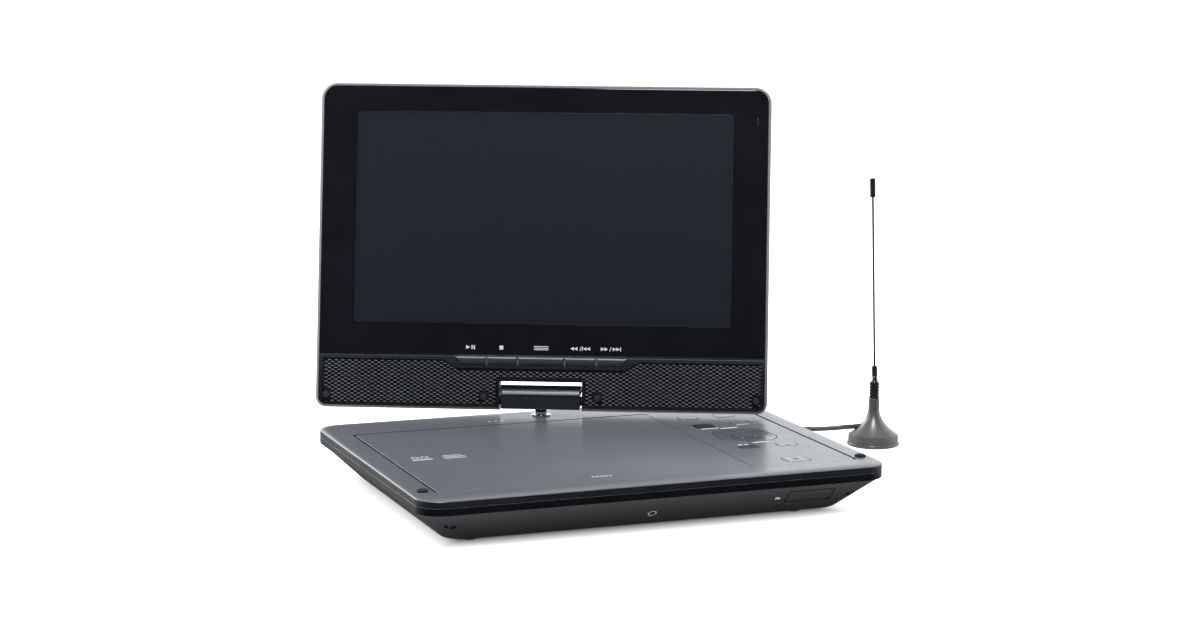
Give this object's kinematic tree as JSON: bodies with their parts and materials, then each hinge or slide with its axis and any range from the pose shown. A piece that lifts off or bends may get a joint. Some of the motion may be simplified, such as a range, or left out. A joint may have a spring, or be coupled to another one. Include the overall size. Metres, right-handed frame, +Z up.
{
  "type": "portable dvd player",
  "caption": "Portable disc player with a swivelling, tilting screen, a disc bay, control keys and a magnetic whip antenna on a thin lead.",
  "frame": {"origin": "centre of the flat underside of the base", "axes": "+Z up, +Y to the rear where the screen hinge stands, +X to the right of the person using it; the rubber feet reach 2 mm below the origin"},
  "size_m": [0.3232, 0.2505, 0.1984],
  "materials": {
    "satin_grey": "satin, fine sparkle",
    "panel_grey": "satin",
    "gloss_black": "gloss",
    "shell_black": "satin",
    "rubber": "matte",
    "inner_plastic": "matte",
    "steel": "brushed",
    "chrome": "mirror",
    "dark_parts": "satin",
    "circuit_board": "satin",
    "battery_wrap": "satin",
    "tinted_window": "gloss",
    "lamp_white": "gloss",
    "key_grey": "satin",
    "display": "semi gloss",
    "grille_black": "satin",
    "antenna_grey": "satin",
    "whip_black": "satin",
    "lead_black": "satin"
  },
  "bodies": {
    "base": {"top_shell": "satin_grey", "trim_band": "gloss_black", "bottom_shell": "shell_black", "rubber_feet": "rubber", "screen_rests": "rubber", "control_panel": "panel_grey", "disc_tray": "inner_plastic", "spindle_motor": "steel", "guide_rods": "steel", "main_board": "circuit_board", "battery_pack": "battery_wrap", "ir_window": "tinted_window", "status_lamps": "lamp_white", "case_screws": "steel", "dc_jack": "dark_parts", "av_jacks": "dark_parts", "antenna_jack": "dark_parts", "swivel_washer": "chrome", "antenna_foot": "rubber", "antenna_bell": "antenna_grey", "antenna_collar": "antenna_grey", "antenna_cone": "chrome", "antenna_whip": "whip_black", "antenna_tip": "whip_black", "cord_outlet": "lead_black", "antenna_cord": "lead_black", "cord_coil": "lead_black", "coil_tie": "rubber", "antenna_plug": "lead_black"},
    "lid": {"disc_lid": "satin_grey", "lid_arms": "inner_plastic"},
    "spindle": {"spindle_hub": "dark_parts"},
    "pickup": {"pickup_sled": "dark_parts"},
    "source_key": {"source_key": "key_grey"},
    "setup_key": {"setup_key": "key_grey"},
    "display_key": {"display_key": "key_grey"},
    "subtitle_key": {"subtitle_key": "key_grey"},
    "enter_key": {"enter_key": "key_grey"},
    "return_key": {"return_key": "key_grey"},
    "title_key": {"title_key": "key_grey"},
    "mode_key": {"mode_key": "key_grey"},
    "direction_pad": {"direction_pad": "key_grey"},
    "power_switch": {"power_switch": "dark_parts"},
    "volume_wheel": {"volume_wheel": "dark_parts"},
    "card_door": {"card_door": "shell_black"},
    "swivel": {"swivel_shaft": "chrome", "hinge_block": "dark_parts", "hinge_pins": "steel"},
    "screen": {"screen_back": "shell_black", "screen_frame": "gloss_black", "display_panel": "display", "speaker_grille": "grille_black", "speakers": "inner_plastic", "screw_plugs": "rubber"},
    "play_key": {"play_key": "grille_black"},
    "stop_key": {"stop_key": "grille_black"},
    "menu_key": {"menu_key": "grille_black"},
    "previous_key": {"previous_key": "grille_black"},
    "next_key": {"next_key": "grille_black"}
  },
  "joints": [
    {"name": "lid_hinge", "type": "hinge", "parent": "base", "child": "lid", "pos_m": [0, 0.066, 0.0194], "axis": [-1, 0, 0], "range_deg": [0, 10]},
    {"name": "spindle_spin", "type": "hinge", "parent": "base", "child": "spindle", "pos_m": [-0.027, -0.007, 0.016], "axis": [0, 0, 1], "continuous": true},
    {"name": "pickup_slide", "type": "slide", "parent": "base", "child": "pickup", "axis": [1, 0, 0], "range_m": [0, 0.024]},
    {"name": "source_key_press", "type": "slide", "parent": "base", "child": "source_key", "axis": [0, 0, -1], "range_m": [0, 0.0004], "stiffness_N_per_m": 400},
    {"name": "setup_key_press", "type": "slide", "parent": "base", "child": "setup_key", "axis": [0, 0, -1], "range_m": [0, 0.0004], "stiffness_N_per_m": 400},
    {"name": "display_key_press", "type": "slide", "parent": "base", "child": "display_key", "axis": [0, 0, -1], "range_m": [0, 0.0004], "stiffness_N_per_m": 400},
    {"name": "subtitle_key_press", "type": "slide", "parent": "base", "child": "subtitle_key", "axis": [0, 0, -1], "range_m": [0, 0.0004], "stiffness_N_per_m": 400},
    {"name": "enter_key_press", "type": "slide", "parent": "base", "child": "enter_key", "axis": [0, 0, -1], "range_m": [0, 0.0004], "stiffness_N_per_m": 400},
    {"name": "return_key_press", "type": "slide", "parent": "base", "child": "return_key", "axis": [0, 0, -1], "range_m": [0, 0.0004], "stiffness_N_per_m": 400},
    {"name": "title_key_press", "type": "slide", "parent": "base", "child": "title_key", "axis": [0, 0, -1], "range_m": [0, 0.0004], "stiffness_N_per_m": 400},
    {"name": "mode_key_press", "type": "slide", "parent": "base", "child": "mode_key", "axis": [0, 0, -1], "range_m": [0, 0.0004], "stiffness_N_per_m": 400},
    {"name": "direction_pad_rock", "type": "hinge", "parent": "base", "child": "direction_pad", "pos_m": [0.0805, -0.0055, 0.0222], "axis": [1, 0, 0], "range_deg": [-1.2, 1.2], "stiffness_Nm_per_rad": 0.3},
    {"name": "power_switch_slide", "type": "slide", "parent": "base", "child": "power_switch", "axis": [0, 1, 0], "range_m": [0, 0.003]},
    {"name": "volume_wheel_turn", "type": "hinge", "parent": "base", "child": "volume_wheel", "pos_m": [0.1048, 0.022, 0.009], "axis": [0, 0, 1], "range_deg": [-140, 140]},
    {"name": "card_door_hinge", "type": "hinge", "parent": "base", "child": "card_door", "pos_m": [0.0798, -0.08041, 0.00747], "axis": [1, 0, 0], "range_deg": [0, 85]},
    {"name": "screen_swivel", "type": "hinge", "parent": "base", "child": "swivel", "pos_m": [0, 0.0765, 0.0319], "axis": [0, 0, 1], "range_deg": [-65.5, 204.5]},
    {"name": "screen_tilt", "type": "hinge", "parent": "swivel", "child": "screen", "pos_m": [0, 0.0765, 0.0319], "axis": [0.91, -0.4147, 0], "range_deg": [-78.7, 101.3]},
    {"name": "play_key_press", "type": "slide", "parent": "screen", "child": "play_key", "axis": [0.4067, 0.8923, -0.1959], "range_m": [0, 0.0004], "stiffness_N_per_m": 400},
    {"name": "stop_key_press", "type": "slide", "parent": "screen", "child": "stop_key", "axis": [0.4067, 0.8923, -0.1959], "range_m": [0, 0.0004], "stiffness_N_per_m": 400},
    {"name": "menu_key_press", "type": "slide", "parent": "screen", "child": "menu_key", "axis": [0.4067, 0.8923, -0.1959], "range_m": [0, 0.0004], "stiffness_N_per_m": 400},
    {"name": "previous_key_press", "type": "slide", "parent": "screen", "child": "previous_key", "axis": [0.4067, 0.8923, -0.1959], "range_m": [0, 0.0004], "stiffness_N_per_m": 400},
    {"name": "next_key_press", "type": "slide", "parent": "screen", "child": "next_key", "axis": [0.4067, 0.8923, -0.1959], "range_m": [0, 0.0004], "stiffness_N_per_m": 400}
  ]
}
